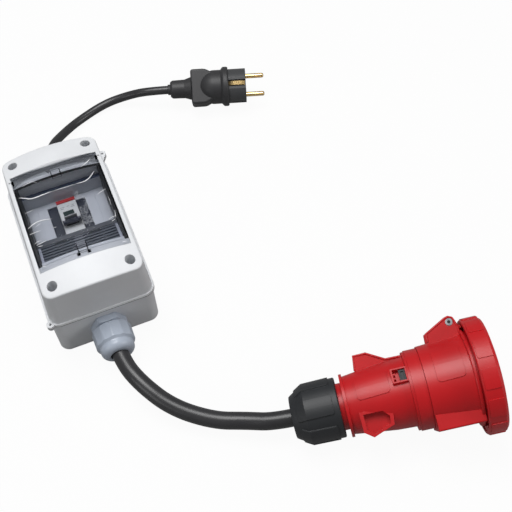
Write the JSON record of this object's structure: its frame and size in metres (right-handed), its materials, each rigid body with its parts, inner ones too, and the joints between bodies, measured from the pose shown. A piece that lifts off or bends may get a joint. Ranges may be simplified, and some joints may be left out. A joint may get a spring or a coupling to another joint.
{
  "type": "plug adapter lead",
  "caption": "Adapter lead with an earthed mains plug, a breaker enclosure behind a clear door and a red industrial coupler with a sprung lid and bayonet ring.",
  "frame": {"origin": "centre of the enclosure's underside, at the back face", "axes": "+Z out through the enclosure's cover, +Y along the enclosure towards the mains plug, +X across it towards the coupler"},
  "size_m": [0.3392, 0.4908, 0.1027],
  "materials": {
    "light_housing_plastic": "light grey moulded plastic with a soft sheen",
    "smoked_clear_plastic": "smoked transparent plastic, glossy",
    "frame_plastic": "light grey moulded plastic, dull",
    "brown_sheath": "brown lead insulation",
    "blue_sheath": "blue lead insulation",
    "green_yellow_sheath": "green and yellow lead insulation",
    "grey_panel_plastic": "mid grey moulded plastic",
    "dark_panel_plastic": "dark blue-grey moulded plastic",
    "breaker_plastic": "pale grey moulded plastic",
    "toggle_plastic": "near-black blue glossy plastic",
    "red_plastic": "signal red moulded plastic, satin gloss",
    "dark_grey_plastic": "dark grey moulded plastic",
    "gland_plastic": "blue-grey moulded plastic",
    "black_rubber": "black rubber sheath, slightly satin",
    "plug_rubber": "black moulded rubber, matte",
    "seal_rubber": "dark seal rubber",
    "zinc_steel": "zinc plated steel",
    "gold_brass": "brass contact metal, bright",
    "insert_plastic": "black moulded insulating plastic"
  },
  "bodies": {
    "lead": {"blank_covers": "grey_panel_plastic", "breaker_case": "breaker_plastic", "breaker_rail_clip": "dark_grey_plastic", "breaker_terminal_screws": "zinc_steel", "clamping_nut": "dark_grey_plastic", "contact_insert": "insert_plastic", "contact_sleeves": "gold_brass", "coupler_cable_seal": "seal_rubber", "coupler_front_housing": "red_plastic", "coupler_rear_housing": "red_plastic", "cover_gasket": "seal_rubber", "cover_screws": "zinc_steel", "earth_leads": "green_yellow_sheath", "enclosure_base": "light_housing_plastic", "front_cover": "light_housing_plastic", "inlet_cable": "black_rubber", "inlet_gland_body": "gland_plastic", "inlet_gland_locknut": "gland_plastic", "inlet_gland_nut": "gland_plastic", "inlet_gland_seal": "seal_rubber", "lid_hinge_pin": "zinc_steel", "lid_spring": "zinc_steel", "live_leads": "brown_sheath", "lower_shield": "dark_panel_plastic", "mounting_rail": "zinc_steel", "mouth_gasket": "seal_rubber", "neutral_leads": "blue_sheath", "outlet_cable": "black_rubber", "outlet_gland_body": "gland_plastic", "outlet_gland_locknut": "gland_plastic", "outlet_gland_nut": "gland_plastic", "outlet_gland_seal": "seal_rubber", "plug_earth_clips": "gold_brass", "plug_housing": "plug_rubber", "plug_insert": "insert_plastic", "plug_neck": "plug_rubber", "plug_pins": "gold_brass", "rail_screws": "zinc_steel", "terminal_block": "breaker_plastic", "terminal_screws": "zinc_steel", "well_frame": "frame_plastic"},
    "door": {"door": "smoked_clear_plastic"},
    "breaker_toggle": {"breaker_toggle": "toggle_plastic"},
    "lid": {"coupler_lid": "red_plastic", "lid_gasket": "seal_rubber"},
    "locking_ring": {"locking_ring": "red_plastic"},
    "latch": {"coupler_latch": "dark_grey_plastic"}
  },
  "joints": [
    {"name": "door_hinge", "type": "hinge", "parent": "lead", "child": "door", "pos_m": [0, 0.0472, 0.0945], "axis": [-1, 0, 0], "range_deg": [0, 90]},
    {"name": "breaker_toggle_hinge", "type": "hinge", "parent": "lead", "child": "breaker_toggle", "pos_m": [0, 0.0081, 0.06427], "axis": [-1, 0, 0], "range_deg": [0, 50]},
    {"name": "lid_hinge", "type": "hinge", "parent": "lead", "child": "lid", "pos_m": [0.26003, -0.20843, 0.06316], "axis": [-0.2241, -0.3173, 0.9215], "range_deg": [0, 130], "stiffness_Nm_per_rad": 0.08, "springref_deg": -17.19},
    {"name": "ring_turn", "type": "hinge", "parent": "lid", "child": "locking_ring", "pos_m": [0.26897, -0.25585, 0.04901], "axis": [0.9635, -0.2143, 0.1605], "range_deg": [0, 30]},
    {"name": "latch_slide", "type": "slide", "parent": "lead", "child": "latch", "axis": [-0.9635, 0.2143, -0.1605], "range_m": [0, 0.003]}
  ]
}
